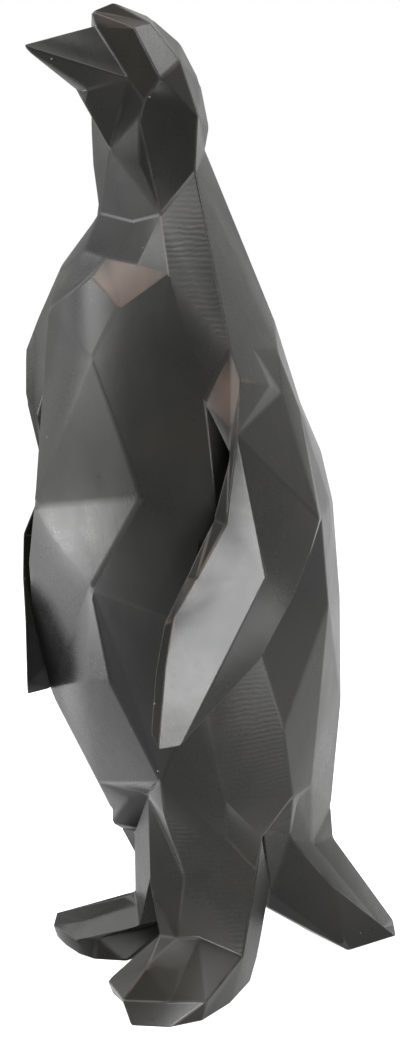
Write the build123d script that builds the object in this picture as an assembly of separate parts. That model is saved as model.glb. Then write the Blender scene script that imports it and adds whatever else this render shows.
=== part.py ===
from build123d import *
from math import cos, radians, sin
import os

os.makedirs("parts", exist_ok=True)

# Penguin figurine, cast in separate hollow and solid castings and glued at keyed seats.
# It faces -Y and stands on Z = 0. Its own left side is +X. All sizes are in mm.

# Body casting
hip_level = 80.0
body_rise = 240.0
body_half_width = 60.0
body_half_depth = 60.0
wall = 7.0
cavity_floor_rise = 24.0
cavity_top_rise = 196.0

# Neck seat and head casting
collar_level = 315.0
neck_half_width = 27.0
neck_half_depth = 33.0
neck_slope = 30.0
head_half_width = 26.0
head_length = 81.0
head_rise = 84.6

# Flippers
flipper_length = 155.0

# Legs and feet
foot_reach = 50.0
ankle_height = 26.0
left_foot_turn = 15.0
right_foot_turn = 42.0
ankle_half_gap = 27.0
left_ankle_advance = 10.0
right_ankle_advance = 3.0

# Tail
tail_half_width = 22.0
tail_reach = 100.0
tail_rise = 60.0

# Glued pegs and their sockets
peg_clearance = 0.3
peg_draft_share = 0.85
neck_peg_radius = 12.0
neck_peg_length = 22.0
flipper_peg_radius = 7.0
flipper_peg_length = 15.0
leg_peg_radius = 8.0
leg_peg_length = 14.0
tail_peg_radius = 9.0
tail_peg_length = 16.0
peg_root = 5.0

# Filler plug under the body
plug_radius = 9.0
plug_length = 10.0
plug_clearance = 0.15
plug_advance = 10.0
overrun = 5.0


def scaled(shares, sizes, base=(0, 0, 0)):
    """Turn a table of shares into corners in mm."""
    return {
        name: tuple(start + share * size for share, size, start in zip(place, sizes, base))
        for name, place in shares.items()
    }


def mirrored(left, right=None):
    """Name the corners of both sides; a corner on the middle plane keeps its plain name."""
    corners = {}
    for name, (across, along, up) in left.items():
        if across == 0:
            corners[name] = (across, along, up)
        else:
            corners[name + "_left"] = (across, along, up)
            corners[name + "_right"] = (-across, along, up)
    for name, place in (right or {}).items():
        corners[name + "_right"] = place
    return corners


def on_side(facets, side, corners):
    """Write facets for one side, given the names without a side."""
    return [
        tuple(name if name in corners else name + "_" + side for name in facet)
        for facet in facets
    ]


def fan(ring, centre):
    return [(centre, first, second) for first, second in zip(ring, ring[1:] + ring[:1])]


def casting(corners, facets, flats=()):
    """A closed solid: each facet is split into triangles, each flat is one plane face."""
    faces = []
    for facet in facets:
        for second, third in zip(facet[1:], facet[2:]):
            triangle = [corners[name] for name in (facet[0], second, third)]
            faces.append(Face(Wire.make_polygon(triangle, close=True)))
    for flat in flats:
        faces.append(Face(Wire.make_polygon([corners[name] for name in flat], close=True)))
    return Solid(Shell(faces))


def peg(seat, direction, radius, length, extra=0.0):
    """A tapered round peg that starts inside its own casting; extra makes the socket's form."""
    way = Vector(*direction).normalized()
    start = Vector(*seat) - way * peg_root
    height = peg_root + length + extra
    form = Cone(
        radius + extra,
        radius * peg_draft_share + extra,
        height,
        align=(Align.CENTER, Align.CENTER, Align.MIN),
    )
    return Plane(origin=start, z_dir=way) * form


body_sizes = (body_half_width, body_half_depth, body_rise)
body_base = (0, 0, hip_level)

# Seat of the neck, shared by the body and the head
collar_shares = {
    "collar_front": (0, -0.955, 0),
    "collar_side": (0.89, -1.0, 0.1),
    "collar_rear": (1.0, -0.575, 0.65),
    "nape": (0, 0.073, 0.937),
    "collar_seat": (0, -0.45, 0.43),
}
collar = mirrored(
    scaled(collar_shares, (neck_half_width, neck_half_depth, neck_slope), (0, 0, collar_level))
)
collar_ring = [
    "collar_front",
    "collar_side_left",
    "collar_rear_left",
    "nape",
    "collar_rear_right",
    "collar_side_right",
]

# Seats of the flippers, legs and tail, shared by the body and those castings
seat_shares = {
    "shoulder_front": (1.25, -0.558, 0.788),
    "shoulder_mid": (1.025, -0.233, 0.779),
    "shoulder_back": (0.8, 0.1, 0.771),
    "scapula": (0.783, 0.287, 0.672),
    "elbow_seat": (0.833, 0.433, 0.492),
    "armpit": (0.967, -0.25, 0.608),
    "armpit_front": (1.033, -0.617, 0.704),
    "flipper_seat": (0.8, -0.05, 0.65),
    "groin_front": (0.2, -0.55, 0.017),
    "hip_front": (0.55, -0.65, 0.058),
    "hip_side": (0.75, -0.267, 0.025),
    "hip_rear": (0.733, 0.037, -0.049),
    "groin_rear": (0.2, 0.133, -0.058),
    "hip_seat": (0.43, -0.2, 0.0),
    "tail_seat_low": (0.5, 0.2, -0.058),
    "tail_seat_side": (0.5, 0.433, -0.05),
    "tail_seat_edge": (0.55, 0.445, -0.01),
    "back_side_low": (0.5, 0.6, 0.008),
    "rump": (0, 1.125, -0.079),
    "tail_seat": (0, 0.7, -0.04),
}
right_seat_shares = {
    "shoulder_front": (-1.333, -0.567, 0.788),
    "groin_front": (-0.15, -0.334, -0.011),
    "hip_front": (-0.367, -0.362, -0.031),
    "hip_side": (-0.7, -0.31, -0.076),
}
seats = mirrored(
    scaled(seat_shares, body_sizes, body_base),
    scaled(right_seat_shares, body_sizes, body_base),
)
flipper_ring = [
    "shoulder_front",
    "shoulder_mid",
    "shoulder_back",
    "scapula",
    "elbow_seat",
    "armpit",
    "armpit_front",
]
hip_ring = ["groin_front", "hip_front", "hip_side", "hip_rear", "groin_rear"]
tail_ring = [
    "rump",
    "back_side_low_left",
    "tail_seat_edge_left",
    "tail_seat_side_left",
    "tail_seat_low_left",
    "tail_seat_low_right",
    "tail_seat_side_right",
    "tail_seat_edge_right",
    "back_side_low_right",
]

# The body's other corners
body_shares = {
    "throat_point": (0, -0.733, 0.921),
    "breast_rise": (0.367, -0.708, 0.912),
    "breast_side": (0.717, -0.683, 0.9),
    "breast_top": (0, -0.842, 0.89),
    "breast_corner": (0.367, -0.85, 0.847),
    "belly_corner": (0.667, -0.867, 0.544),
    "belly_point": (0, -0.867, 0.371),
    "keel": (0.142, -0.807, 0.216),
    "belly_low": (0.833, -0.583, 0.200),
    "belly_rim": (0.55, -0.664, 0.066),
    "spine_side_top": (0.3, 0.112, 0.963),
    "spine_side": (0.533, 0.25, 0.817),
    "back_point": (0, 0.835, 0.658),
    "back_high": (0, 1.01, 0.572),
    "back_crest": (0, 1.114, 0.483),
    "back_mid": (0, 1.188, 0.3),
    "back_low": (0, 1.205, 0.115),
    "flank_edge": (0.983, -0.5, 0.55),
    "flank_low": (0.95, -0.6, 0.471),
    "belly_side": (0.933, -0.650, 0.338),
    "flank": (0.967, -0.333, 0.421),
    "thigh_rear": (0.783, 0.175, 0.137),
    "back_side_top": (0.5, 0.733, 0.504),
    "back_side_mid": (0.5, 0.733, 0.325),
    "hip_edge": (0.667, 0.333, 0.008),
}
right_body_shares = {
    "breast_rise": (-0.367, -0.69, 0.93),
    "breast_corner": (-0.7, -0.79, 0.828),
    "belly_corner": (-0.667, -0.933, 0.49),
    "flank_low": (-0.933, -0.842, 0.376),
    "belly_side": (-0.908, -0.839, 0.300),
    "keel": (-0.142, -0.814, 0.203),
    "belly_low": (-0.817, -0.743, 0.153),
    "belly_rim": (-0.55, -0.509, -0.008),
}
lone_body_shares = {"breast_point": (0.067, -0.885, 0.757)}
body_corners = mirrored(
    scaled(body_shares, body_sizes, body_base),
    scaled(right_body_shares, body_sizes, body_base),
)
body_corners.update(scaled(lone_body_shares, body_sizes, body_base))
body_corners.update(collar)
body_corners.update(seats)
body_side_facets = [
    ("collar_front", "collar_side", "breast_rise"),
    ("collar_front", "breast_rise", "throat_point"),
    ("collar_side", "breast_side", "breast_rise"),
    ("throat_point", "breast_rise", "breast_corner", "breast_top"),
    ("breast_rise", "breast_side", "breast_corner"),
    ("breast_top", "breast_corner", "breast_point"),
    ("breast_corner", "belly_corner", "breast_point"),
    ("breast_corner", "breast_side", "belly_corner"),
    ("collar_side", "shoulder_front", "breast_side"),
    ("collar_side", "collar_rear", "shoulder_front"),
    ("breast_side", "shoulder_front", "armpit_front"),
    ("breast_side", "armpit_front", "belly_corner"),
    ("armpit_front", "flank_edge", "belly_corner"),
    ("flank_edge", "flank_low", "belly_corner"),
    ("belly_corner", "flank_low", "belly_side"),
    ("belly_corner", "belly_side", "belly_point"),
    ("belly_point", "belly_side", "belly_low"),
    ("belly_point", "belly_low", "keel"),
    ("keel", "belly_low", "belly_rim"),
    ("belly_side", "hip_side", "belly_low"),
    ("belly_low", "hip_side", "belly_rim"),
    ("belly_rim", "hip_side", "hip_front"),
    ("belly_rim", "hip_front", "groin_front"),
    ("belly_side", "flank", "hip_side"),
    ("flank_low", "flank", "belly_side"),
    ("flank_edge", "flank", "flank_low"),
    ("armpit_front", "armpit", "flank_edge"),
    ("armpit", "flank", "flank_edge"),
    ("armpit", "elbow_seat", "flank"),
    ("flank", "thigh_rear", "hip_side"),
    ("hip_side", "thigh_rear", "hip_edge"),
    ("hip_side", "hip_edge", "hip_rear"),
    ("elbow_seat", "back_side_mid", "flank"),
    ("flank", "back_side_mid", "thigh_rear"),
    ("thigh_rear", "back_side_mid", "hip_edge"),
    ("hip_edge", "back_side_mid", "back_side_low"),
    ("elbow_seat", "back_side_top", "back_side_mid"),
    ("scapula", "back_side_top", "elbow_seat"),
    ("scapula", "back_high", "back_side_top"),
    ("scapula", "back_point", "back_high"),
    ("shoulder_back", "back_point", "scapula"),
    ("spine_side", "back_point", "shoulder_back"),
    ("back_high", "back_crest", "back_side_top"),
    ("back_side_top", "back_crest", "back_mid"),
    ("back_side_top", "back_mid", "back_side_mid"),
    ("back_mid", "back_low", "back_side_mid"),
    ("back_low", "back_side_low", "back_side_mid"),
    ("back_low", "rump", "back_side_low"),
    ("collar_rear", "spine_side", "shoulder_back"),
    ("collar_rear", "shoulder_back", "shoulder_mid"),
    ("collar_rear", "shoulder_mid", "shoulder_front"),
    ("collar_rear", "nape", "spine_side_top"),
    ("collar_rear", "spine_side_top", "spine_side"),
    ("hip_edge", "back_side_low", "tail_seat_edge"),
    ("hip_edge", "tail_seat_edge", "tail_seat_side"),
    ("hip_edge", "tail_seat_side", "tail_seat_low", "hip_rear"),
    ("hip_rear", "tail_seat_low", "groin_rear"),
]
body_middle_facets = [
    ("breast_point", "belly_corner_left", "belly_corner_right"),
    ("belly_corner_right", "belly_corner_left", "belly_point"),
    ("belly_point", "keel_left", "keel_right"),
    ("keel_left", "belly_rim_left", "belly_rim_right", "keel_right"),
    ("belly_rim_left", "groin_front_left", "groin_front_right", "belly_rim_right"),
    ("groin_front_left", "groin_rear_left", "groin_rear_right", "groin_front_right"),
    ("groin_rear_left", "tail_seat_low_left", "tail_seat_low_right", "groin_rear_right"),
    ("nape", "spine_side_top_right", "spine_side_top_left"),
    ("spine_side_top_left", "spine_side_top_right", "spine_side_right", "spine_side_left"),
    ("spine_side_left", "spine_side_right", "back_point"),
]
sides = ("left", "right")


def seat_fan(ring, centre, side):
    return fan([name + "_" + side for name in ring], centre + "_" + side)


def make_body_form():
    facets = list(body_middle_facets)
    facets += fan(collar_ring, "collar_seat")
    facets += fan(tail_ring, "tail_seat")
    for side in sides:
        facets += on_side(body_side_facets, side, body_corners)
        facets += seat_fan(flipper_ring, "flipper_seat", side)
        facets += seat_fan(hip_ring, "hip_seat", side)
    return casting(body_corners, facets)


# Pegs, as (seat, direction, radius, length)
neck_peg = (collar["collar_seat"], (0, 0, -1), neck_peg_radius, neck_peg_length)
tail_peg = (seats["tail_seat"], (0, -1, 1), tail_peg_radius, tail_peg_length)
flipper_pegs = {
    side: (seats["flipper_seat_" + side], (inward, 0, 0), flipper_peg_radius, flipper_peg_length)
    for side, inward in (("left", -1), ("right", 1))
}
leg_pegs = {
    side: (seats["hip_seat_" + side], (0, 0, 1), leg_peg_radius, leg_peg_length)
    for side in sides
}
all_pegs = [neck_peg, tail_peg, *flipper_pegs.values(), *leg_pegs.values()]


def inside(place):
    """The cavity's corner behind a corner of the body, a wall's depth further in."""
    shrink = (
        1 - wall / body_half_width,
        1 - wall / body_half_depth,
        1 - wall / body_rise,
    )
    middle = (0, 0, hip_level + body_rise / 2)
    return tuple(m + (p - m) * s for p, m, s in zip(place, middle, shrink))


def make_cavity():
    facets = list(body_middle_facets)
    facets += fan(collar_ring, "collar_seat")
    facets += fan(tail_ring, "tail_seat")
    for side in sides:
        facets += on_side(body_side_facets, side, body_corners)
        facets += seat_fan(flipper_ring, "flipper_seat", side)
        facets += seat_fan(hip_ring, "hip_seat", side)
    inner = casting({name: inside(place) for name, place in body_corners.items()}, facets)
    reach = 2 * (body_half_width + body_half_depth)
    slab = Pos(0, 0, hip_level + cavity_floor_rise) * Box(
        reach,
        reach,
        cavity_top_rise - cavity_floor_rise,
        align=(Align.CENTER, Align.CENTER, Align.MIN),
    )
    cavity = inner & slab
    for seat, direction, radius, length in all_pegs:
        cavity -= peg(seat, direction, radius, length, peg_clearance + wall / 2)
    return cavity


def make_body_and_plug():
    form = make_body_form()
    body = form - make_cavity()
    for seat, direction, radius, length in all_pegs:
        body -= peg(seat, direction, radius, length, peg_clearance)
    place = Pos(0, -plug_advance, seats["groin_rear_left"][2] - overrun)
    hole_length = hip_level + cavity_floor_rise + overrun - place.position.Z
    standing = (Align.CENTER, Align.CENTER, Align.MIN)
    body -= place * Cylinder(plug_radius, hole_length, align=standing)
    plug_height = hip_level + plug_length - place.position.Z
    plug = form & (place * Cylinder(plug_radius - plug_clearance, plug_height, align=standing))
    return body, plug


# Head and beak, one casting with the neck
head_shares = {
    "beak_tip": (0, -1.0, 0.792),
    "brow_front": (0, -0.593, 0.894),
    "forehead": (0, -0.614, 0.955),
    "brow_corner": (0.654, -0.5, 0.875),
    "gape": (0.577, -0.514, 0.647),
    "chin": (0.173, -0.667, 0.6),
    "throat_top": (0, -0.66, 0.544),
    "throat": (0, -0.514, 0.329),
    "throat_side": (0.69, -0.485, 0.26),
    "cheek_low": (0.731, -0.488, 0.461),
    "cheek": (0.808, -0.475, 0.544),
    "cheek_point": (1.0, -0.42, 0.644),
    "ear": (0.769, -0.165, 0.485),
    "crown_side": (0.692, -0.252, 0.733),
    "crown_front": (0, -0.494, 1.0),
    "crown_corner": (0.462, -0.374, 0.902),
    "crown_top": (0, -0.286, 0.94),
    "crown_rear": (0, -0.116, 0.827),
    "back_head_top": (0, 0.0, 0.65),
    "back_head": (0, 0.053, 0.437),
}
head_corners = mirrored(
    scaled(head_shares, (head_half_width, head_length, head_rise), (0, 0, collar_level))
)
head_corners.update(collar)
head_side_facets = [
    ("beak_tip", "gape", "brow_front"),
    ("brow_front", "gape", "brow_corner"),
    ("brow_front", "brow_corner", "forehead"),
    ("forehead", "brow_corner", "crown_corner", "crown_front"),
    ("crown_front", "crown_corner", "crown_top"),
    ("beak_tip", "chin", "gape"),
    ("brow_corner", "gape", "cheek", "cheek_point"),
    ("cheek_point", "crown_corner", "brow_corner"),
    ("cheek_point", "crown_side", "crown_corner"),
    ("cheek_point", "ear", "crown_side"),
    ("cheek", "ear", "cheek_point"),
    ("cheek", "cheek_low", "collar_rear", "ear"),
    ("cheek_low", "throat_side", "collar_side", "collar_rear"),
    ("throat", "chin", "throat_top"),
    ("throat", "gape", "chin"),
    ("throat", "cheek", "gape"),
    ("throat", "cheek_low", "cheek"),
    ("throat", "throat_side", "cheek_low"),
    ("throat", "collar_side", "throat_side"),
    ("throat", "collar_front", "collar_side"),
    ("crown_side", "crown_top", "crown_corner"),
    ("crown_side", "crown_rear", "crown_top"),
    ("crown_side", "back_head_top", "crown_rear"),
    ("crown_side", "ear", "back_head_top"),
    ("ear", "back_head", "back_head_top"),
    ("ear", "nape", "back_head"),
    ("ear", "collar_rear", "nape"),
]
head_middle_facets = [
    ("beak_tip", "chin_right", "chin_left"),
    ("chin_left", "chin_right", "throat_top"),
]


def make_head():
    facets = head_middle_facets + fan(collar_ring, "collar_seat")
    for side in sides:
        facets += on_side(head_side_facets, side, head_corners)
    return casting(head_corners, facets) + peg(*neck_peg)


# Flippers: each hangs free below its seat on the shoulder
flipper_shares = {
    "top_front": (1.367, -0.563, 0.069),
    "top_mid": (1.117, -0.175, 0.098),
    "top_rear": (0.967, 0.012, 0.124),
    "bend_front": (1.35, -0.573, 0.201),
    "elbow": (1.05, 0.268, 0.446),
    "palm": (1.283, -0.31, 0.559),
    "trail_a": (1.117, 0.143, 0.53),
    "trail_b": (1.167, -0.007, 0.623),
    "trail_c": (1.117, -0.242, 0.785),
    "trail_d": (1.033, -0.532, 0.902),
    "tip_rear": (0.967, -0.755, 0.993),
    "tip_front": (0.908, -0.885, 1.0),
    "lead_a": (1.25, -0.553, 0.193),
    "lead_b": (1.233, -0.55, 0.254),
    "lead_c": (1.117, -0.602, 0.417),
    "lead_d": (1.1, -0.8, 0.56),
    "lead_e": (0.967, -0.878, 0.676),
    "lead_f": (0.9, -0.898, 0.793),
    "lead_g": (0.858, -0.913, 0.961),
    "edge_c": (1.2, -0.557, 0.425),
    "edge_d": (1.167, -0.758, 0.557),
    "edge_e": (1.033, -0.845, 0.661),
    "edge_f": (0.967, -0.865, 0.776),
}
right_flipper_shares = {
    "top_front": (-1.467, -0.572, 0.069),
    "bend_front": (-1.467, -0.577, 0.195),
    "lead_a": (-1.350, -0.558, 0.191),
    "lead_b": (-1.333, -0.555, 0.252),
    "lead_d": (-1.183, -0.750, 0.569),
    "lead_e": (-1.058, -0.823, 0.685),
    "lead_f": (-1.000, -0.838, 0.801),
    "lead_g": (-0.958, -0.853, 0.969),
    "edge_d": (-1.250, -0.707, 0.565),
    "edge_e": (-1.125, -0.788, 0.669),
    "edge_f": (-1.067, -0.803, 0.785),
    "tip_front": (-1.000, -0.828, 1.007),
    "tip_rear": (-1.058, -0.607, 1.005),
    "trail_d": (-1.100, -0.490, 0.908),
}
shoulder_level = seats["shoulder_front_left"][2]
flipper_sizes = (body_half_width, body_half_depth, -flipper_length)
flipper_corners = mirrored(
    scaled(flipper_shares, flipper_sizes, (0, 0, shoulder_level)),
    scaled(right_flipper_shares, flipper_sizes, (0, 0, shoulder_level)),
)
flipper_corners.update(seats)
flipper_facets = [
    ("shoulder_front", "shoulder_mid", "top_mid", "top_front"),
    ("shoulder_mid", "shoulder_back", "top_rear", "top_mid"),
    ("bend_front", "top_front", "top_mid"),
    ("bend_front", "top_mid", "top_rear"),
    ("bend_front", "top_rear", "elbow"),
    ("shoulder_back", "scapula", "top_rear"),
    ("scapula", "elbow_seat", "elbow", "top_rear"),
    ("bend_front", "elbow", "palm"),
    ("palm", "elbow", "trail_a"),
    ("palm", "trail_a", "trail_b"),
    ("palm", "trail_b", "trail_c"),
    ("palm", "trail_c", "trail_d"),
    ("palm", "trail_d", "tip_rear"),
    ("palm", "edge_c", "bend_front"),
    ("palm", "edge_d", "edge_c"),
    ("palm", "edge_e", "edge_d"),
    ("palm", "edge_f", "edge_e"),
    ("palm", "tip_rear", "edge_f"),
    ("edge_f", "tip_rear", "tip_front"),
    ("shoulder_front", "top_front", "lead_a", "armpit_front"),
    ("top_front", "bend_front", "lead_a"),
    ("lead_a", "bend_front", "lead_b"),
    ("lead_b", "bend_front", "edge_c", "lead_c"),
    ("lead_c", "edge_c", "edge_d", "lead_d"),
    ("lead_d", "edge_d", "edge_e", "lead_e"),
    ("lead_e", "edge_e", "edge_f", "lead_f"),
    ("lead_f", "edge_f", "tip_front", "lead_g"),
    ("armpit_front", "lead_a", "lead_b", "armpit"),
    ("armpit", "lead_b", "lead_c"),
    ("armpit", "lead_c", "elbow_seat"),
    ("elbow_seat", "lead_c", "trail_a"),
    ("elbow_seat", "trail_a", "elbow"),
    ("lead_c", "lead_d", "trail_b", "trail_a"),
    ("lead_d", "lead_e", "trail_b"),
    ("lead_e", "lead_f", "trail_c", "trail_b"),
    ("lead_f", "lead_g", "trail_d", "trail_c"),
    ("lead_g", "tip_front", "tip_rear", "trail_d"),
]


def make_flipper(side):
    facets = on_side(flipper_facets, side, flipper_corners)
    facets += seat_fan(flipper_ring, "flipper_seat", side)
    return casting(flipper_corners, facets) + peg(*flipper_pegs[side])


# Legs: places on the foot are given along and across its own line
foot_shares = {
    "thigh_front": (-0.043, 0.546, 3.105),
    "thigh_side": (0.285, 0.171, 2.71),
    "shin_inner": (-0.404, 0.35, 1.746),
    "shin_front": (-0.027, 0.332, 2.028),
    "shin_side": (0.373, -0.092, 2.12),
    "calf": (0.11, -0.57, 1.54),
    "ankle_inner": (-0.271, 0.373, 0.981),
    "ankle_mid": (-0.129, 0.307, 0.981),
    "ankle_front": (-0.018, 0.164, 0.962),
    "ankle_outer": (0.249, -0.077, 0.654),
    "ankle_heel": (0.09, -0.494, 0.81),
    "ankle_back": (-0.24, -0.32, 0.846),
    "ridge_inner": (-0.18, 0.61, 0.65),
    "ridge_outer": (0.08, 0.53, 0.65),
    "inner_side": (-0.52, 0.412, 0.538),
    "inner_toe": (-0.594, 0.654, 0.231),
    "mid_toe": (-0.05, 1.02, 0.38),
    "web": (0.22, 0.76, 0.35),
    "outer_toe": (0.46, 0.58, 0.38),
    "heel": (0.06, -0.46, 0.346),
    "heel_ground": (0.06, -0.38, 0),
    "outer_side_ground": (0.28, 0.12, 0),
    "outer_toe_ground": (0.37, 0.54, 0),
    "web_ground": (0.28, 0.82, 0),
    "mid_toe_ground": (0.03, 1.0, 0),
    "inner_web_ground": (-0.349, 0.703, 0),
    "inner_toe_ground": (-0.585, 0.6, 0),
    "inner_side_ground": (-0.48, 0.4, 0),
    "inner_heel_ground": (-0.2, -0.24, 0),
}
right_foot_shares = {
    "thigh_front": (-0.239, 0.057, 2.215),
    "thigh_side": (0.013, 0.434, 2.154),
    "shin_inner": (-0.41, 0.007, 1.538),
    "shin_front": (-0.089, 0.218, 2.096),
    "shin_side": (0.028, 0.357, 2.068),
    "calf": (0.361, -0.132, 1.615),
    "ankle_inner": (-0.252, 0.144, 0.577),
    "ankle_mid": (-0.117, 0.189, 0.846),
    "ankle_front": (0.015, 0.234, 1.0),
    "ankle_outer": (0.317, 0.097, 0.769),
    "ankle_heel": (0.29, -0.143, 0.731),
    "ankle_back": (-0.01, -0.198, 0.654),
    "ridge_inner": (-0.093, 0.664, 0.5),
    "ridge_outer": (0.069, 0.414, 0.808),
    "inner_side": (-0.305, 0.493, 0.365),
    "inner_toe": (-0.194, 0.713, 0.231),
    "mid_toe": (0.125, 0.996, 0.25),
    "web": (0.265, 1.0, 0.37),
    "outer_toe": (0.49, 0.74, 0.23),
    "heel": (0.288, -0.171, 0.308),
    "heel_ground": (0.247, -0.155, 0),
    "outer_side_ground": (0.42, 0.22, 0),
    "outer_toe_ground": (0.447, 0.699, 0),
    "web_ground": (0.336, 1.0, 0),
    "mid_toe_ground": (0.186, 0.975, 0),
    "inner_web_ground": (-0.028, 0.843, 0),
    "inner_toe_ground": (-0.219, 0.682, 0),
    "inner_side_ground": (-0.318, 0.527, 0),
    "inner_heel_ground": (-0.319, 0.246, 0),
}
sole = [
    "heel_ground",
    "outer_side_ground",
    "outer_toe_ground",
    "web_ground",
    "mid_toe_ground",
    "inner_web_ground",
    "inner_toe_ground",
    "inner_side_ground",
    "inner_heel_ground",
]
leg_facets = [
    ("groin_front", "hip_front", "thigh_front"),
    ("hip_front", "hip_side", "thigh_side", "thigh_front"),
    ("hip_side", "hip_rear", "thigh_side"),
    ("thigh_front", "thigh_side", "shin_side", "shin_front"),
    ("groin_front", "thigh_front", "shin_front", "shin_inner"),
    ("thigh_side", "hip_rear", "shin_side"),
    ("shin_inner", "shin_front", "ankle_mid"),
    ("shin_inner", "ankle_mid", "ankle_inner"),
    ("shin_front", "ankle_front", "ankle_mid"),
    ("shin_front", "shin_side", "ankle_outer", "ankle_front"),
    ("shin_side", "hip_rear", "calf"),
    ("shin_side", "calf", "ankle_outer"),
    ("ankle_outer", "calf", "ankle_heel"),
    ("calf", "hip_rear", "groin_rear"),
    ("calf", "groin_rear", "ankle_back"),
    ("calf", "ankle_back", "ankle_heel"),
    ("groin_rear", "groin_front", "shin_inner"),
    ("groin_rear", "shin_inner", "ankle_back"),
    ("shin_inner", "ankle_inner", "ankle_back"),
    ("ankle_inner", "inner_side", "inner_toe"),
    ("ankle_inner", "inner_toe", "ridge_inner"),
    ("ankle_inner", "ridge_inner", "ankle_mid"),
    ("ankle_mid", "ridge_inner", "ridge_outer"),
    ("ankle_mid", "ridge_outer", "ankle_front"),
    ("ridge_inner", "inner_toe", "mid_toe"),
    ("ridge_inner", "mid_toe", "web", "ridge_outer"),
    ("ankle_front", "ridge_outer", "web"),
    ("ankle_front", "web", "outer_toe"),
    ("ankle_front", "outer_toe", "ankle_outer"),
    ("ankle_inner", "ankle_back", "inner_side"),
    ("ankle_outer", "outer_toe", "outer_toe_ground", "outer_side_ground"),
    ("outer_toe", "web", "web_ground", "outer_toe_ground"),
    ("web", "mid_toe", "mid_toe_ground", "web_ground"),
    ("mid_toe", "inner_web_ground", "mid_toe_ground"),
    ("mid_toe", "inner_toe", "inner_web_ground"),
    ("inner_toe", "inner_toe_ground", "inner_web_ground"),
    ("inner_toe", "inner_side", "inner_side_ground", "inner_toe_ground"),
    ("inner_side", "ankle_back", "inner_heel_ground", "inner_side_ground"),
    ("ankle_back", "heel", "heel_ground", "inner_heel_ground"),
    ("ankle_heel", "heel", "ankle_back"),
    ("ankle_outer", "heel", "ankle_heel"),
    ("ankle_outer", "outer_side_ground", "heel_ground", "heel"),
]


def make_leg(side, shares, turn, advance, hand):
    """The foot's line is turned outward from straight ahead; hand is 1 on the left side."""
    out = Vector(cos(radians(turn)), sin(radians(turn)), 0)
    ahead = Vector(sin(radians(turn)), -cos(radians(turn)), 0)
    ankle = Vector(ankle_half_gap, -advance, 0)
    corners = dict(seats)
    for name, (across, along, up) in shares.items():
        place = ankle + out * (across * foot_reach) + ahead * (along * foot_reach)
        corners[name + "_" + side] = (hand * place.X, place.Y, up * ankle_height)
    facets = on_side(leg_facets, side, corners) + seat_fan(hip_ring, "hip_seat", side)
    flats = on_side([tuple(sole)], side, corners)
    return casting(corners, facets, flats) + peg(*leg_pegs[side])


# Tail: a wedge that comes down to the ground behind the feet
tail_shares = {
    "neck_top": (0, 0.69, 0.767),
    "neck_mid": (0.5, 0.5, 0.833),
    "neck_side": (1.0, 0.308, 0.97),
    "side_ridge": (0.909, 0.552, 0.527),
    "tail_tip": (0, 1.02, 0.05),
    "end_mid": (0.4, 0.9, 0.06),
    "tail_tip_ground": (0, 1.03, 0),
    "end_ground": (0.545, 0.95, 0),
    "side_ground": (0.75, 0.66, 0),
    "root_low": (0.864, 0.234, 0.578),
    "keel_root": (0.409, 0.281, 0.407),
}
tail_corners = mirrored(scaled(tail_shares, (tail_half_width, tail_reach, tail_rise)))
tail_corners.update(seats)
tail_side_facets = [
    ("rump", "neck_top", "neck_mid", "back_side_low"),
    ("back_side_low", "neck_mid", "tail_seat_edge"),
    ("tail_seat_edge", "neck_mid", "neck_side"),
    ("tail_seat_edge", "neck_side", "tail_seat_side"),
    ("tail_seat_side", "neck_side", "tail_seat_low"),
    ("neck_top", "tail_tip", "end_mid", "neck_mid"),
    ("neck_mid", "side_ridge", "neck_side"),
    ("neck_mid", "end_mid", "side_ridge"),
    ("side_ridge", "end_mid", "end_ground"),
    ("end_mid", "tail_tip", "tail_tip_ground", "end_ground"),
    ("neck_side", "side_ridge", "side_ground", "root_low"),
    ("side_ridge", "end_ground", "side_ground"),
    ("neck_side", "root_low", "tail_seat_low"),
    ("root_low", "side_ground", "keel_root"),
]
tail_middle_facets = [
    ("keel_root_left", "side_ground_left", "side_ground_right", "keel_root_right"),
    ("keel_root_left", "keel_root_right", "root_low_right", "root_low_left"),
    ("root_low_left", "root_low_right", "tail_seat_low_right", "tail_seat_low_left"),
]
tail_ground = (
    "side_ground_left",
    "end_ground_left",
    "tail_tip_ground",
    "end_ground_right",
    "side_ground_right",
)


def make_tail():
    facets = tail_middle_facets + fan(tail_ring, "tail_seat")
    for side in sides:
        facets += on_side(tail_side_facets, side, tail_corners)
    return casting(tail_corners, facets, [tail_ground]) + peg(*tail_peg)


body, plug = make_body_and_plug()
parts = {
    "body": body,
    "head": make_head(),
    "left_flipper": make_flipper("left"),
    "right_flipper": make_flipper("right"),
    "left_leg": make_leg("left", foot_shares, left_foot_turn, left_ankle_advance, 1),
    "right_leg": make_leg("right", right_foot_shares, right_foot_turn, right_ankle_advance, -1),
    "tail": make_tail(),
    "filler_plug": plug,
}
centre = Compound(list(parts.values())).bounding_box().center()
for name, shape in parts.items():
    export_step(Pos(-centre.X, -centre.Y, 0) * shape, f"parts/{name}.step")
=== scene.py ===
import math
import bmesh
import bpy
from mathutils import Matrix, Vector
from mathutils.bvhtree import BVHTree


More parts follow.
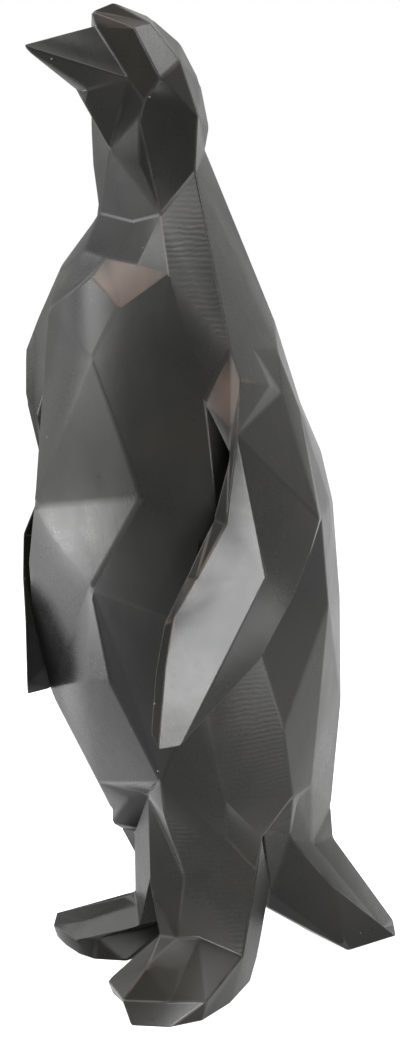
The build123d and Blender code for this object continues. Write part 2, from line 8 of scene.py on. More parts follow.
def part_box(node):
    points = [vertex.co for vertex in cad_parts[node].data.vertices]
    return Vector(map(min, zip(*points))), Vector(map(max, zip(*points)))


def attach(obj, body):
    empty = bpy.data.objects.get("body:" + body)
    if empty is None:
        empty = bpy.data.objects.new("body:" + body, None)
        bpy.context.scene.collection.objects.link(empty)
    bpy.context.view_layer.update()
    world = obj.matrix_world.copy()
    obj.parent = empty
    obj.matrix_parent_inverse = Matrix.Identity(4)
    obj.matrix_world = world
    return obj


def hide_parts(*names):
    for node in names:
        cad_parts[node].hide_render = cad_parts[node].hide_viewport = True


# Faceted penguin figurine: the CAD castings are joined, softened and split again, then painted.
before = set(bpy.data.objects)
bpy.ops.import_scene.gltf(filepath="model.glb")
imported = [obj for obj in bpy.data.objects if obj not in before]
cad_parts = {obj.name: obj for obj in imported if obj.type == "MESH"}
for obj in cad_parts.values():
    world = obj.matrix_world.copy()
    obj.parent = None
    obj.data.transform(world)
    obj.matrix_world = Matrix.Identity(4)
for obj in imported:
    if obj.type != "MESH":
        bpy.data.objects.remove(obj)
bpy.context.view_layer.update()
pickFaces = (False, False, True)
pickCorners = (True, False, False)
bpy.context.tool_settings.mesh_select_mode = pickFaces
print("frame loaded:", len(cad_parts), "nodes")

mmPerMetre = 1000
white = (1, 1, 1, 1)

# camera, at the photograph's angle
camera = {
    "place": (0.7730, -0.4922, 0.3320),
    "tiltDegrees": 81.3,
    "turnDegrees": 58.0,
    "sensor": 36.0,
    "lens": 77.31,
    "clip": (0.01, 50),
}


def placeCamera():
    turn = (math.radians(camera["tiltDegrees"]), 0, math.radians(camera["turnDegrees"]))
    bpy.ops.object.camera_add(location=camera["place"], rotation=turn)
    cam = bpy.context.object
    cam.name = "photoCamera"
    cam.data.sensor_width = camera["sensor"]
    cam.data.lens = camera["lens"]
    cam.data.clip_start, cam.data.clip_end = camera["clip"]
    bpy.context.scene.camera = cam


placeCamera()
print("camera placed")

# the castings' skin: lengths in metres, areas in square metres
skinSizes = {
    "mergeGap": 0.00002,
    "flatDegrees": 0.6,
    "probe": 0.0005,  # how far off a face its cover is felt for
    "probeReach": 0.001,
    "weldReach": 0.0015,
    "cornerReach": 0.002,
    "facetReach": 0.003,
    "rimShare": 0.16,  # widest rounding, as a share of a facet's height and edges
    "bevelSteps": 3,
    "swell": 0.26,  # share of rounded shading on the facets
    "swellDegrees": 26,
    "facetWeight": 50,
    "facetArea": 0.00002,  # faces above this size are facets, the others lie on a crease
    # where the crease mask begins and how fast it grows; it carries paint wear with a painted
    # highlight, and the bronze
    "creaseFromDegrees": 6,
    "creaseOverDegrees": 8,
    "plugCup": 0.004,
    "plugGap": 0.001,
}
castings = ["body", "head", "left_flipper", "right_flipper", "left_leg", "right_leg", "tail"]
labelStart = "label_"

# how wide a crease is rounded, by how sharply it folds: degrees, and width in metres
roundings = [(3, 0), (12, 0.0018), (25, 0.0013), (180, 0.0009)]

# finishing of single corners, all in mm: the place, and how far it is pressed in (+)
# or drawn out (-) as seen from the camera
pressed = {
    "throatMiddle": ((3, -53, 343), -2),
    "breastPeak": ((3, -55, 301), 2),
    "breastSide": ((25, -54, 299), -3),
    "breastOuter": ((46, -52, 296), 3),
    "breastLow": ((25, -62, 283), 6),
    "breastSideRight": ((-39, -58, 279), 3),
    "breastTip": ((7, -64, 262), 3),
    "keel": ((3, -63, 169), 4),
    "bellyRight": ((-52, -61, 152), 8),
    "bellyLowRight": ((-46, -56, 117), 8),
    "shoulderRearEdge": ((61, -10, 250), 4),
    "flankRear": ((66, 5, 200), -2),
    "backLow": ((33, 33, 158), -4),
    "keelLow": ((-6, -60, 129), 4),
    "hipUpper": ((50, 0, 113), -2),
    "backRidgeLow": ((3, 61, 108), -3),
    "groinLeft": ((36, -51, 96), 5),
    "hipRear": ((43, 9, 82), 4),
    "rumpSide": ((33, 25, 82), 3),
    "rumpLow": ((36, 16, 78), 2),
    "shinRear": ((47, -12, 55), 2),
    "tailUnder": ((22, 12, 35), 2),
    "ankleInner": ((22, -43, 26), -2),
    "ankleFront": ((31, -29, 25), -2),
    "tailUnderLow": ((12, 17, 24), -2),
    "rightAnkle": ((-26, -25, 22), 3),
    "rightToeRidge": ((-43, -42, 13), -2),
    "outerToe": ((60, -43, 10), 3),
    "rightToeValley": ((-29, -43, 10), 3),
    "middleToe": ((51, -55, 9), -2),
    "rightInnerToe": ((-41, -47, 6), -2),
}

# corners of two castings that meet a little apart, in mm: welded, so that no ledge shows
weldedCorners = [(36, -50.4, 94.9)]

# folds that flow into each other without a crease: the middle of each, in mm
flowing = {
    "chestSide": [
        (45, -57, 253), (56, -50, 272), (54, -56, 230), (53, -52, 211), (52, -55, 202),
        (34, -63, 247),
    ],
    "breast": [(5, -63, 278), (14, -58, 292), (25, -58, 291), (36, -53, 297)],
    "collar": [(14, -48, 307), (26, -49, 308), (-8, -47, 309)],
    "neckSide": [(53, -44, 294), (62, -48, 283), (47, -27, 301), (40, -17, 300)],
    "cheek": [
        (27, -40, 348), (26, -40, 344), (24, -37, 359), (22, -50, 375), (19, -52, 379),
        (22, -43, 380),
    ],
    "throat": [
        (13, -52, 348), (5, -59, 354), (14, -51, 352), (-7, -52, 348), (12, -51, 340),
        (-6, -51, 340),
    ],
    "flank": [(51, -57, 186), (61, -44, 203), (28, -54, 149), (50, -36, 107), (60, -40, 171)],
    "hip": [
        (46, -9, 84), (42, -39, 90), (41, -38, 82), (42, -39, 91), (47, -18, 77),
        (47, -26, 78), (40, -37, 76), (46, -17, 69), (41, -30, 68), (40, -25, 54),
    ],
    "back": [(47, 1, 170), (38, 21, 120), (49, -14, 99), (55, -29, 134)],
    "flipperFace": [(77, -37, 193), (76, -43, 183), (72, -46, 175), (71, -46, 166)],
    "flipperBack": [(75, -28, 165), (76, -21, 178), (75, -16, 185)],
    "shin": [(37, -26, 35), (32, -33, 39)],
    "foot": [
        (19, -57, 11), (43, -19, 9), (48, -28, 9), (47, -62, 5), (16, -60, 3),
        (36, -37, 21), (34, -42, 21),
    ],
    "rightFoot": [
        (-33, -26, 22), (-42, -34, 17), (-55, -42, 11), (-52, -44, 10), (-57, -47, 3),
        (-40, -47, 3), (-35, -46, 3), (-42, -44, 10),
    ],
    "rightShin": [(-17, -26, 31), (-27, -25, 38)],
}

# facets with a finish of their own: the middle of each, in mm
finishZones = {
    "bronze": [(10, -59, 293), (18, -57, 294), (32, -56, 293), (80, -44, 256), (74, -46, 252)],
    "brushed": [
        (53, -20, 127), (56, -36, 143), (47, -6, 94), (38, -32, 63), (40, -21, 42),
        (45, -39, 307), (57, -33, 290), (50, -47, 294),
    ],
}


def deselectAll():
    for obj in bpy.context.selected_objects:
        obj.select_set(False)


def onlySelect(obj):
    deselectAll()
    obj.select_set(True)
    bpy.context.view_layer.objects.active = obj


def editAll(obj):
    onlySelect(obj)
    bpy.ops.object.mode_set(mode="EDIT")
    bpy.ops.mesh.select_all(action="SELECT")


def leaveEdit():
    bpy.ops.mesh.select_all(action="DESELECT")
    bpy.ops.object.mode_set(mode="OBJECT")


def copyNode(name):
    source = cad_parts[name]
    obj = source.copy()
    obj.data = source.data.copy()
    obj.name = "part_" + name
    for key in list(obj.keys()):
        del obj[key]
    obj.parent = None
    obj.matrix_world = Matrix.Identity(4)
    bpy.context.collection.objects.link(obj)
    obj.data.materials.clear()
    return obj


def treeOf(name):
    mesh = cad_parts[name].data
    corners = [v.co for v in mesh.vertices]
    return BVHTree.FromPolygons(corners, [p.vertices[:] for p in mesh.polygons])


def isCovered(point, tree):
    place, normal, index, distance = tree.find_nearest(point, skinSizes["probeReach"])
    return place is not None and (point - place).dot(normal) < 0


# the outer skin is the island with the most area, and cavity and socket walls are dropped
def keepLargestIsland(obj):
    work = bmesh.new()
    work.from_mesh(obj.data)
    unseen = set(work.faces)
    islands = []
    while unseen:
        front = [unseen.pop()]
        island = list(front)
        while front:
            for edge in front.pop().edges:
                for other in edge.link_faces:
                    if other in unseen:
                        unseen.remove(other)
                        island.append(other)
                        front.append(other)
        islands.append(island)
    islands.sort(key=lambda faces: sum(f.calc_area() for f in faces))
    drop = [face for island in islands[:-1] for face in island]
    bmesh.ops.delete(work, geom=drop, context="FACES")
    work.to_mesh(obj.data)
    work.free()


# labels keep the castings apart while their skins are joined
def addLabels(obj):
    for casting in castings:
        label = labelStart + casting
        material = bpy.data.materials.get(label) or bpy.data.materials.new(label)
        obj.data.materials.append(material)


def outerShell(name, number, trees):
    obj = copyNode(name)
    addLabels(obj)
    for face in obj.data.polygons:
        face.material_index = number
    editAll(obj)
    bpy.ops.mesh.remove_doubles(threshold=skinSizes["mergeGap"])
    leaveEdit()
    others = [trees[n] for n in trees if n != name]
    for face in obj.data.polygons:
        probe = face.center + face.normal * skinSizes["probe"]
        face.select = any(isCovered(probe, tree) for tree in others)
    bpy.ops.object.mode_set(mode="EDIT")
    bpy.ops.mesh.delete(type="FACE")
    bpy.ops.object.mode_set(mode="OBJECT")
    keepLargestIsland(obj)
    return obj


def weld(skin, target):
    bpy.context.tool_settings.mesh_select_mode = pickCorners
    editAll(skin)
    leaveEdit()
    for vertex in skin.data.vertices:
        vertex.select = (vertex.co - target).length < skinSizes["weldReach"]
    bpy.ops.object.mode_set(mode="EDIT")
    bpy.ops.mesh.merge(type="CENTER")
    leaveEdit()
    bpy.context.tool_settings.mesh_select_mode = pickFaces


def joinSkin():
    trees = {n: treeOf(n) for n in castings + ["filler_plug"]}
    parts = [outerShell(name, number, trees) for number, name in enumerate(castings)]
    deselectAll()
    for obj in parts:
        obj.select_set(True)
    bpy.context.view_layer.objects.active = parts[0]
    bpy.ops.object.join()
    skin = bpy.context.object
    skin.name = "skin"
    editAll(skin)
    bpy.ops.mesh.remove_doubles(threshold=skinSizes["mergeGap"])
    flat = math.radians(skinSizes["flatDegrees"])
    bpy.ops.mesh.dissolve_limited(angle_limit=flat, delimit={"MATERIAL"})
    leaveEdit()
    for place in weldedCorners:
        weld(skin, Vector(place) / mmPerMetre)
    print("skin joined:", len(skin.data.polygons), "facets")
    return skin


# the corner, fold or facet that lies nearest to a place in mm
def nearest(things, placeOf, place, reach, name):
    target = Vector(place) / mmPerMetre
    best = min(things, key=lambda thing: (placeOf(thing) - target).length)
    if (placeOf(best) - target).length > reach:
        print("nothing near", name, place)
    return best


def findFlowing(skin):
    mesh = skin.data

    def middleOf(edge):
        first, second = edge.vertices
        return (mesh.vertices[first].co + mesh.vertices[second].co) / 2

    found = set()
    for name, places in flowing.items():
        for place in places:
            fold = nearest(mesh.edges, middleOf, place, skinSizes["cornerReach"], name)
            found.add(fold.index)
    return found


def pressCorners(skin):
    eye = Vector(camera["place"])
    reach = skinSizes["cornerReach"]
    for name, (place, amount) in pressed.items():
        corner = nearest(skin.data.vertices, lambda v: v.co, place, reach, name)
        corner.co += (corner.co - eye).normalized() * amount / mmPerMetre
    skin.data.update()


def markZones(skin):
    mesh = skin.data
    reach = skinSizes["facetReach"]
    for name, places in finishZones.items():
        zone = mesh.attributes.new(name, "FLOAT", "FACE")
        for place in places:
            facet = nearest(mesh.polygons, lambda f: f.center, place, reach, name)
            zone.data[facet.index].value = 1.0


def roundingOf(edge):
    fold = math.degrees(edge.calc_face_angle())
    width = next(w for limit, w in roundings if fold <= limit)
    rise = min(2 * f.calc_area() / edge.calc_length() for f in edge.link_faces)
    ends = min(e.calc_length() for v in edge.verts for e in v.link_edges)
    return min(width, skinSizes["rimShare"] * rise, skinSizes["rimShare"] * ends)


def softenSkin(skin, folds):
    widest = max(width for limit, width in roundings)
    work = bmesh.new()
    work.from_mesh(skin.data)
    weight = work.edges.layers.float.new("bevel_weight_edge")
    work.edges.ensure_lookup_table()
    for edge in work.edges:
        if len(edge.link_faces) == 2 and edge.index not in folds:
            edge[weight] = roundingOf(edge) / widest
    work.to_mesh(skin.data)
    work.free()
    bevel = skin.modifiers.new("edges", "BEVEL")
    bevel.limit_method = "WEIGHT"
    bevel.width = widest
    bevel.segments = skinSizes["bevelSteps"]
    bevel.use_clamp_overlap = False
    onlySelect(skin)
    bpy.ops.object.modifier_apply(modifier="edges")
    for face in skin.data.polygons:
        face.use_smooth = True
    print("skin softened:", len(skin.data.polygons), "faces")


# 1 along the sharper outward creases, 0 on the facets and in the hollows
def markCreases(skin):
    crease = skin.data.attributes.new("crease", "FLOAT", "POINT")
    work = bmesh.new()
    work.from_mesh(skin.data)
    for vertex in work.verts:
        turns = [e.calc_face_angle_signed() for e in vertex.link_edges if len(e.link_faces) == 2]
        sharpest = math.degrees(max(turns, default=0))
        share = (sharpest - skinSizes["creaseFromDegrees"]) / skinSizes["creaseOverDegrees"]
        onFacet = any(f.calc_area() > skinSizes["facetArea"] for f in vertex.link_faces)
        crease.data[vertex.index].value = 0.0 if onFacet else max(0.0, min(1.0, share))
    work.free()


def wholeCopy(skin, name):
    whole = skin.copy()
    whole.data = skin.data.copy()
    whole.name = name
    bpy.context.collection.objects.link(whole)
    for face in whole.data.polygons:
        face.use_smooth = True
    return whole


def takeNormals(obj, source, mapping, share):
    take = obj.modifiers.new("normals", "DATA_TRANSFER")
    take.object = source
    take.use_loop_data = True
    take.data_types_loops = {"CUSTOM_NORMAL"}
    take.loop_mapping = mapping
    take.mix_factor = share
    onlySelect(obj)
    bpy.ops.object.modifier_apply(modifier="normals")


# each facet's shading swells a little towards its creases, as a poured surface does
def smoothNormals(skin, plain):
    onlySelect(plain)
    bpy.ops.object.shade_smooth_by_angle(angle=math.radians(skinSizes["swellDegrees"]))
    skin.modifiers.new("smooth", "WEIGHTED_NORMAL").weight = skinSizes["facetWeight"]
    onlySelect(skin)
    bpy.ops.object.modifier_apply(modifier="smooth")
    takeNormals(skin, plain, "POLYINTERP_NEAREST", skinSizes["swell"])
    bpy.data.objects.remove(plain)


def splitSkin(skin):
    whole = wholeCopy(skin, "wholeSkin")
    editAll(skin)
    bpy.ops.mesh.separate(type="MATERIAL")
    bpy.ops.object.mode_set(mode="OBJECT")
    pieces = {}
    for obj in list(bpy.context.selected_objects):
        label = obj.data.materials[obj.data.polygons[0].material_index].name
        pieces[label.removeprefix(labelStart)] = obj
    return pieces, whole


def nearPlug(edge):
    low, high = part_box("filler_plug")
    gap = skinSizes["plugGap"]
    return all(
        low.x - gap < v.co.x < high.x + gap
        and low.y - gap < v.co.y < high.y + gap
        and v.co.z < high.z
        for v in edge.verts
    )


def openEdges(work):
    return [e for e in work.edges if len(e.link_faces) == 1]


# caps the seats; the body keeps a shallow cup round its plug, and two of its seats stay open,
# under the left flipper and the right leg
def closePiece(name, obj):
    work = bmesh.new()
    work.from_mesh(obj.data)
    if name == "body":
        mouth = [e for e in openEdges(work) if nearPlug(e)]
        made = bmesh.ops.extrude_edge_only(work, edges=mouth)
        rise = [g for g in made["geom"] if isinstance(g, bmesh.types.BMVert)]
        bmesh.ops.translate(work, verts=rise, vec=(0, 0, skinSizes["plugCup"]))
    rim = openEdges(work)
    for edge in rim:
        edge.smooth = False
    caps = bmesh.ops.holes_fill(work, edges=rim, sides=0)["faces"]
    bmesh.ops.poke(work, faces=caps)
    work.to_mesh(obj.data)
    work.free()
    obj.name = name + "_cast"
    print("piece", name, len(obj.data.polygons), "faces, caps", len(caps))


skin = joinSkin()
folds = findFlowing(skin)
pressCorners(skin)
markZones(skin)
plain = wholeCopy(skin, "plainSkin")
softenSkin(skin, folds)
markCreases(skin)
smoothNormals(skin, plain)
pieces, whole = splitSkin(skin)
for name, obj in pieces.items():
    closePiece(name, obj)
    takeNormals(obj, whole, "NEAREST_POLYNOR", 1.0)
bpy.data.objects.remove(whole)

# paint: scales in features per metre, heights as shares of the bump's distance
paintLook = {
    "dark": (0.0032, 0.0034, 0.0033, 1),
    "olive": (0.006, 0.0057, 0.0045, 1),
    "bronze": (0.027, 0.019, 0.0145, 1),
    # lighter along the creases: paint wear and a painted highlight
    "wornAndHighlight": (0.04, 0.039, 0.037, 1),
    "speck": (0.1, 0.095, 0.085, 1),
    "sheen": 0.1,
    "rough": (0.24, 0.32),
    "roughRub": 0.12,
    "roughGrain": 0.03,
    "metalRub": 0.28,
    "cloudScale": 9.0,
    "cloudFrom": 0.4,
    "cloudTo": 0.62,
    "waveScale": 28.0,
    "grainScale": 900.0,
    "waveHeight": 0.3,
    "strokeHeight": 0.13,
    "nibHeight": 0.2,
    "grainHeight": 0.018,
    "bumpDistance": 0.00035,
    "bumpStrength": 0.8,
}

# where the bronze shows through: place and radius in mm
rubbedPlaces = {
    "breast": ((20, -57, 294), 34),
    "shoulder": ((78, -45, 252), 16),
    "flipperRim": ((73, -55, 190), 14),
    "flipperLow": ((62, -62, 160), 12),
    "innerToe": ((30, -58, 12), 14),
    "crown": ((10, -50, 393), 12),
}

plugLook = {
    "resin": (0.035, 0.033, 0.03, 1),
    "pale": (0.07, 0.066, 0.06, 1),
    "rough": (0.5, 0.65),
    "cloudScale": 120.0,
    "grainScale": 1500.0,
    "bumpDistance": 0.00005,
    "bumpStrength": 0.6,
}

# the color sockets of a mix node
mixBelow = 6
mixAbove = 7
mixResult = 2


def newGroup(name, output, numbers, vectors=("Vector",)):
    group = bpy.data.node_groups.new(name, "ShaderNodeTree")
    for label in vectors:
        group.interface.new_socket(label, in_out="INPUT", socket_type="NodeSocketVector")
    for label, value in numbers.items():
        socket = group.interface.new_socket(label, in_out="INPUT", socket_type="NodeSocketFloat")
        socket.default_value = value
    group.interface.new_socket(output, in_out="OUTPUT", socket_type="NodeSocketFloat")
    return group, group.nodes.new("NodeGroupInput"), group.nodes.new("NodeGroupOutput")


# a value is a setting of the node, or else one of its inputs
def add(tree, kind, **values):
    node = tree.nodes.new(kind)
    for key, value in values.items():
        if hasattr(node, key):
            setattr(node, key, value)
        else:
            node.inputs[key].default_value = value
    return node


def wire(tree, source, out, target, into):
    tree.links.new(source.outputs[out], target.inputs[into])


def remap(tree, source, out, low=0.0, high=1.0, fromLow=0.0, fromHigh=1.0):
    node = add(tree, "ShaderNodeMapRange")
    node.inputs["From Min"].default_value = fromLow
    node.inputs["From Max"].default_value = fromHigh
    node.inputs["To Min"].default_value = low
    node.inputs["To Max"].default_value = high
    wire(tree, source, out, node, "Value")
    return node


def maths(tree, operation, first, firstOut, second, secondOut=0):
    node = add(tree, "ShaderNodeMath", operation=operation)
    wire(tree, first, firstOut, node, 0)
    if isinstance(second, (int, float)):
        node.inputs[1].default_value = second
    else:
        wire(tree, second, secondOut, node, 1)
    return node


def addUp(tree, first, second):
    return maths(tree, "ADD", first, 0, second)


# cloudy unevenness from 0 to 1
def mottleGroup():
    numbers = {"Scale": 30.0, "Low": 0.35, "High": 0.65}
    group, given, out = newGroup("mottle", "Mask", numbers)
    noise = add(group, "ShaderNodeTexNoise", Detail=5.0, Roughness=0.6)
    wire(group, given, "Vector", noise, "Vector")
    wire(group, given, "Scale", noise, "Scale")
    spread = remap(group, noise, "Fac")
    wire(group, given, "Low", spread, "From Min")
    wire(group, given, "High", spread, "From Max")
    wire(group, spread, "Result", out, "Mask")
    return group


# dust nibs caught in the paint
def speckGroup():
    numbers = {"Scale": 160.0, "Share": 0.06, "Radius": 0.055}
    group, given, out = newGroup("specks", "Mask", numbers)
    cells = add(group, "ShaderNodeTexVoronoi")
    wire(group, given, "Vector", cells, "Vector")
    wire(group, given, "Scale", cells, "Scale")
    near = maths(group, "LESS_THAN", cells, "Distance", given, "Radius")
    pick = add(group, "ShaderNodeSeparateColor")
    wire(group, cells, "Color", pick, "Color")
    chosen = maths(group, "LESS_THAN", pick, "Red", given, "Share")
    nibs = maths(group, "MULTIPLY", near, 0, chosen)
    wire(group, nibs, 0, out, "Mask")
    return group


# fine sanding marks that lie almost level
def brushGroup():
    group, given, out = newGroup("brushMarks", "Height", {"Pitch": 150.0, "Zone": 0.0})
    wave = add(group, "ShaderNodeTexWave", bands_direction="Z", Distortion=5.0, Detail=2.0)
    wave.inputs["Detail Scale"].default_value = 0.7
    wire(group, given, "Vector", wave, "Vector")
    wire(group, given, "Pitch", wave, "Scale")
    noise = add(group, "ShaderNodeTexNoise", Scale=60.0)
    wire(group, given, "Vector", noise, "Vector")
    broken = maths(group, "MULTIPLY", wave, "Fac", noise, "Fac")
    held = maths(group, "MULTIPLY", broken, 0, given, "Zone")
    wire(group, held, 0, out, "Height")
    return group


# paint rubbed through on the creases, together with a painted highlight along them
def wearAndHighlightGroup():
    group, given, out = newGroup("creaseWear", "Mask", {"Crease": 0.0, "Amount": 0.35})
    noise = add(group, "ShaderNodeTexNoise", Scale=70.0, Detail=4.0)
    wire(group, given, "Vector", noise, "Vector")
    patchy = remap(group, noise, "Fac", fromLow=0.35, fromHigh=0.7)
    onCrease = maths(group, "MULTIPLY", patchy, 0, given, "Crease")
    held = maths(group, "MULTIPLY", onCrease, 0, given, "Amount")
    wire(group, held, 0, out, "Mask")
    return group


# a rubbed patch round one place, with a ragged edge
def patchGroup():
    group, given, out = newGroup("rubPatch", "Mask", {"Radius": 0.02}, ("Vector", "Center"))
    away = add(group, "ShaderNodeVectorMath", operation="DISTANCE")
    wire(group, given, "Vector", away, 0)
    wire(group, given, "Center", away, 1)
    noise = add(group, "ShaderNodeTexNoise", Scale=90.0, Detail=4.0)
    wire(group, given, "Vector", noise, "Vector")
    share = maths(group, "DIVIDE", away, "Value", given, "Radius")
    ragged = maths(group, "ADD", share, 0, noise, "Fac")
    fade = remap(group, ragged, 0, fromLow=1.5, fromHigh=0.8)
    wire(group, fade, "Result", out, "Mask")
    return group


groups = {
    "mottle": mottleGroup(),
    "specks": speckGroup(),
    "brush": brushGroup(),
    "wear": wearAndHighlightGroup(),
    "patch": patchGroup(),
}


def useGroup(tree, name, coords, **values):
    node = tree.nodes.new("ShaderNodeGroup")
    node.node_tree = groups[name]
    wire(tree, coords, "Object", node, "Vector")
    for key, value in values.items():
        node.inputs[key].default_value = value
    return node


# the color above shows where the mask is 1; below it lies a fixed color or another blend
def blend(tree, mask, maskOut, below, above):
    mix = add(tree, "ShaderNodeMix", data_type="RGBA")
    wire(tree, mask, maskOut, mix, "Factor")
    if isinstance(below, tuple):
        mix.inputs[mixBelow].default_value = below
    else:
        wire(tree, below, mixResult, mix, mixBelow)
    mix.inputs[mixAbove].default_value = above
    return mix


def attribute(tree, name):
    return add(tree, "ShaderNodeAttribute", attribute_name=name)


def bumped(tree, shader, height, out, look):
    distance, strength = look["bumpDistance"], look["bumpStrength"]
    bump = add(tree, "ShaderNodeBump", Distance=distance, Strength=strength)
    wire(tree, height, out, bump, "Height")
    wire(tree, bump, "Normal", shader, "Normal")


# the rubbed places together, only on creases and on the bronze facets
def bronzeMask(tree, coords, crease):
    rub = None
    for middle, radius in rubbedPlaces.values():
        center = tuple(c / mmPerMetre for c in middle)
        patch = useGroup(tree, "patch", coords, Center=center, Radius=radius / mmPerMetre)
        rub = patch if rub is None else maths(tree, "MAXIMUM", rub, 0, patch, "Mask")
    onZone = maths(tree, "MAXIMUM", crease, "Fac", attribute(tree, "bronze"), "Fac")
    return maths(tree, "MULTIPLY", rub, 0, onZone)


def paint():
    mat = bpy.data.materials.new("satinPaint")
    mat.use_nodes = True
    tree = mat.node_tree
    shader = tree.nodes["Principled BSDF"]
    coords = add(tree, "ShaderNodeTexCoord")
    broad = useGroup(tree, "mottle", coords, Scale=paintLook["waveScale"])
    fine = useGroup(tree, "mottle", coords, Scale=paintLook["grainScale"])
    cloudy = useGroup(
        tree, "mottle", coords,
        Scale=paintLook["cloudScale"], Low=paintLook["cloudFrom"], High=paintLook["cloudTo"],
    )
    specks = useGroup(tree, "specks", coords)
    crease = attribute(tree, "crease")
    wear = useGroup(tree, "wear", coords)
    wire(tree, crease, "Fac", wear, "Crease")
    brush = useGroup(tree, "brush", coords)
    wire(tree, attribute(tree, "brushed"), "Fac", brush, "Zone")
    rubbed = bronzeMask(tree, coords, crease)

    color = blend(tree, cloudy, "Mask", paintLook["dark"], paintLook["olive"])
    color = blend(tree, rubbed, 0, color, paintLook["bronze"])
    # creases lighter: paint wear together with a painted highlight along them
    color = blend(tree, wear, "Mask", color, paintLook["wornAndHighlight"])
    color = blend(tree, specks, "Mask", color, paintLook["speck"])
    wire(tree, color, mixResult, shader, "Base Color")

    gloss = remap(tree, broad, "Mask", *paintLook["rough"])
    dull = maths(tree, "MULTIPLY", rubbed, 0, paintLook["roughRub"])
    grain = maths(tree, "MULTIPLY", fine, "Mask", paintLook["roughGrain"])
    wire(tree, addUp(tree, addUp(tree, gloss, dull), grain), 0, shader, "Roughness")
    metal = maths(tree, "MULTIPLY", rubbed, 0, paintLook["metalRub"])
    wire(tree, metal, 0, shader, "Metallic")
    shader.inputs["Specular IOR Level"].default_value = paintLook["sheen"]

    waves = maths(tree, "MULTIPLY", broad, "Mask", paintLook["waveHeight"])
    strokes = maths(tree, "MULTIPLY", brush, "Height", paintLook["strokeHeight"])
    nibs = maths(tree, "MULTIPLY", specks, "Mask", paintLook["nibHeight"])
    peel = maths(tree, "MULTIPLY", fine, "Mask", paintLook["grainHeight"])
    height = addUp(tree, addUp(tree, waves, strokes), addUp(tree, nibs, peel))
    bumped(tree, shader, height, 0, paintLook)
    return mat


def plugResin():
    mat = bpy.data.materials.new("plugResin")
    mat.use_nodes = True
    tree = mat.node_tree
    shader = tree.nodes["Principled BSDF"]
    coords = add(tree, "ShaderNodeTexCoord")
    cloudy = useGroup(tree, "mottle", coords, Scale=plugLook["cloudScale"])
    fine = useGroup(tree, "mottle", coords, Scale=plugLook["grainScale"])
    color = blend(tree, cloudy, "Mask", plugLook["resin"], plugLook["pale"])
    wire(tree, color, mixResult, shader, "Base Color")
    rough = remap(tree, cloudy, "Mask", *plugLook["rough"])
    wire(tree, rough, "Result", shader, "Roughness")
    bumped(tree, shader, fine, "Mask", plugLook)
    return mat


satin = paint()
for name, obj in pieces.items():
    obj.data.materials.clear()
    obj.data.materials.append(satin)
    for face in obj.data.polygons:
        face.material_index = 0
    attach(obj, "root")
    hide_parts(name)
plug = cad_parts["filler_plug"]
plug.data.materials.clear()
plug.data.materials.append(plugResin())
print("painted:", len(pieces), "castings and the plug")

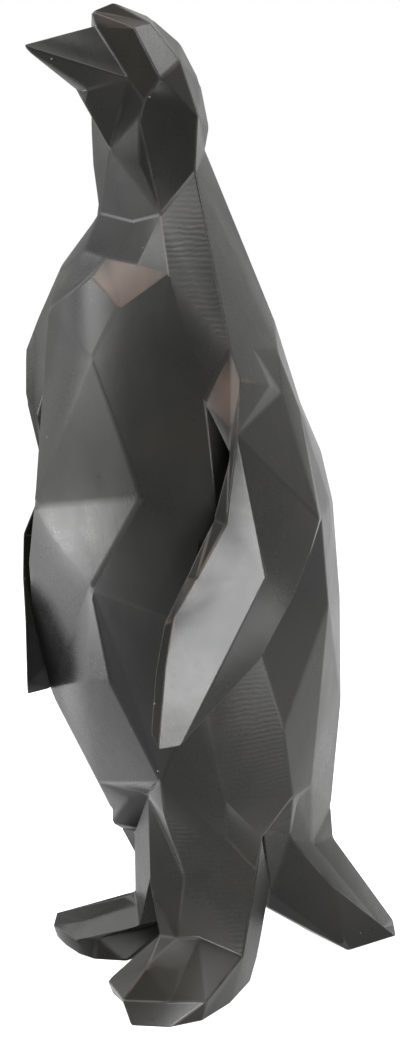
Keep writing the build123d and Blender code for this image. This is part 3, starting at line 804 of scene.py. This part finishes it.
# studio: lengths in metres, azimuths in degrees
studio = {
    "air": 0.6,
    "airSeen": 1.0,
    "floorSize": 14,
    "floorColor": (0.3, 0.3, 0.3, 1),
    "floorRough": 0.9,
    "floorGlow": 0.86,
    "aim": 0.18,
}
softBoxes = {
    "lowFront": {
        "azimuth": 342, "distance": 0.33, "height": 0.03, "size": (0.16, 0.12), "radiance": 66,
    },
    "lowRight": {
        "azimuth": 352, "distance": 0.6, "height": 0.05, "size": (0.35, 0.15), "radiance": 14,
    },
    "lowBack": {
        "azimuth": 37, "distance": 0.3, "height": 0.03, "size": (0.15, 0.08), "radiance": 12,
    },
    "lowLeft": {
        "azimuth": 218, "distance": 0.6, "height": 0.05, "size": (0.25, 0.1), "radiance": 15,
    },
    "left": {
        "azimuth": 220, "distance": 0.8, "height": 0.4, "size": (0.4, 0.4), "radiance": 8,
    },
    "highFront": {
        "azimuth": 266, "distance": 0.45, "height": 1.05, "size": (0.5, 0.5), "radiance": 16,
    },
    "highRight": {
        "azimuth": 320, "distance": 0.7, "height": 0.8, "size": (0.5, 0.5), "radiance": 13,
    },
    "highBack": {
        "azimuth": 72, "distance": 0.5, "height": 1.0, "size": (0.5, 0.5), "radiance": 12,
    },
    "highLeft": {
        "azimuth": 240, "distance": 0.7, "height": 0.8, "size": (0.5, 0.5), "radiance": 14,
    },
}


# 1 where the camera, a reflection or a view through glass meets the surface
def seenDirectly(tree):
    light = add(tree, "ShaderNodeLightPath")
    either = maths(tree, "MAXIMUM", light, "Is Camera Ray", light, "Is Glossy Ray")
    return maths(tree, "MAXIMUM", either, 0, light, "Is Transmission Ray")


def addFloor():
    bpy.ops.mesh.primitive_plane_add(size=studio["floorSize"], location=(0, 0, 0))
    ground = bpy.context.object
    ground.name = "floor"
    mat = bpy.data.materials.new("paleFloor")
    mat.use_nodes = True
    tree = mat.node_tree
    shader = tree.nodes["Principled BSDF"]
    shader.inputs["Base Color"].default_value = studio["floorColor"]
    shader.inputs["Roughness"].default_value = studio["floorRough"]
    shader.inputs["Specular IOR Level"].default_value = 0
    shader.inputs["Emission Color"].default_value = white
    glow = maths(tree, "MULTIPLY", seenDirectly(tree), 0, studio["floorGlow"])
    wire(tree, glow, 0, shader, "Emission Strength")
    ground.data.materials.append(mat)


def addAir():
    scene = bpy.context.scene
    scene.world = bpy.data.worlds.new("studioAir")
    scene.world.use_nodes = True
    tree = scene.world.node_tree
    back = tree.nodes["Background"]
    back.inputs["Color"].default_value = white
    strength = remap(tree, seenDirectly(tree), 0, studio["air"], studio["airSeen"])
    wire(tree, strength, "Result", back, "Strength")


def addSoftBox(name, look):
    angle = math.radians(look["azimuth"])
    across, along = math.cos(angle) * look["distance"], math.sin(angle) * look["distance"]
    place = Vector((across, along, look["height"]))
    bpy.ops.object.light_add(type="AREA", location=place)
    lamp = bpy.context.object
    lamp.name = name
    lamp.data.shape = "RECTANGLE"
    lamp.data.size, lamp.data.size_y = look["size"]
    lamp.data.energy = look["radiance"] * math.pi * look["size"][0] * look["size"][1]
    aim = Vector((0, 0, studio["aim"])) - place
    lamp.rotation_euler = aim.to_track_quat("-Z", "Y").to_euler()


addFloor()
addAir()
for name, look in softBoxes.items():
    addSoftBox(name, look)
bpy.context.scene.view_settings.view_transform = "Standard"
print("studio lit:", len(softBoxes), "soft boxes")
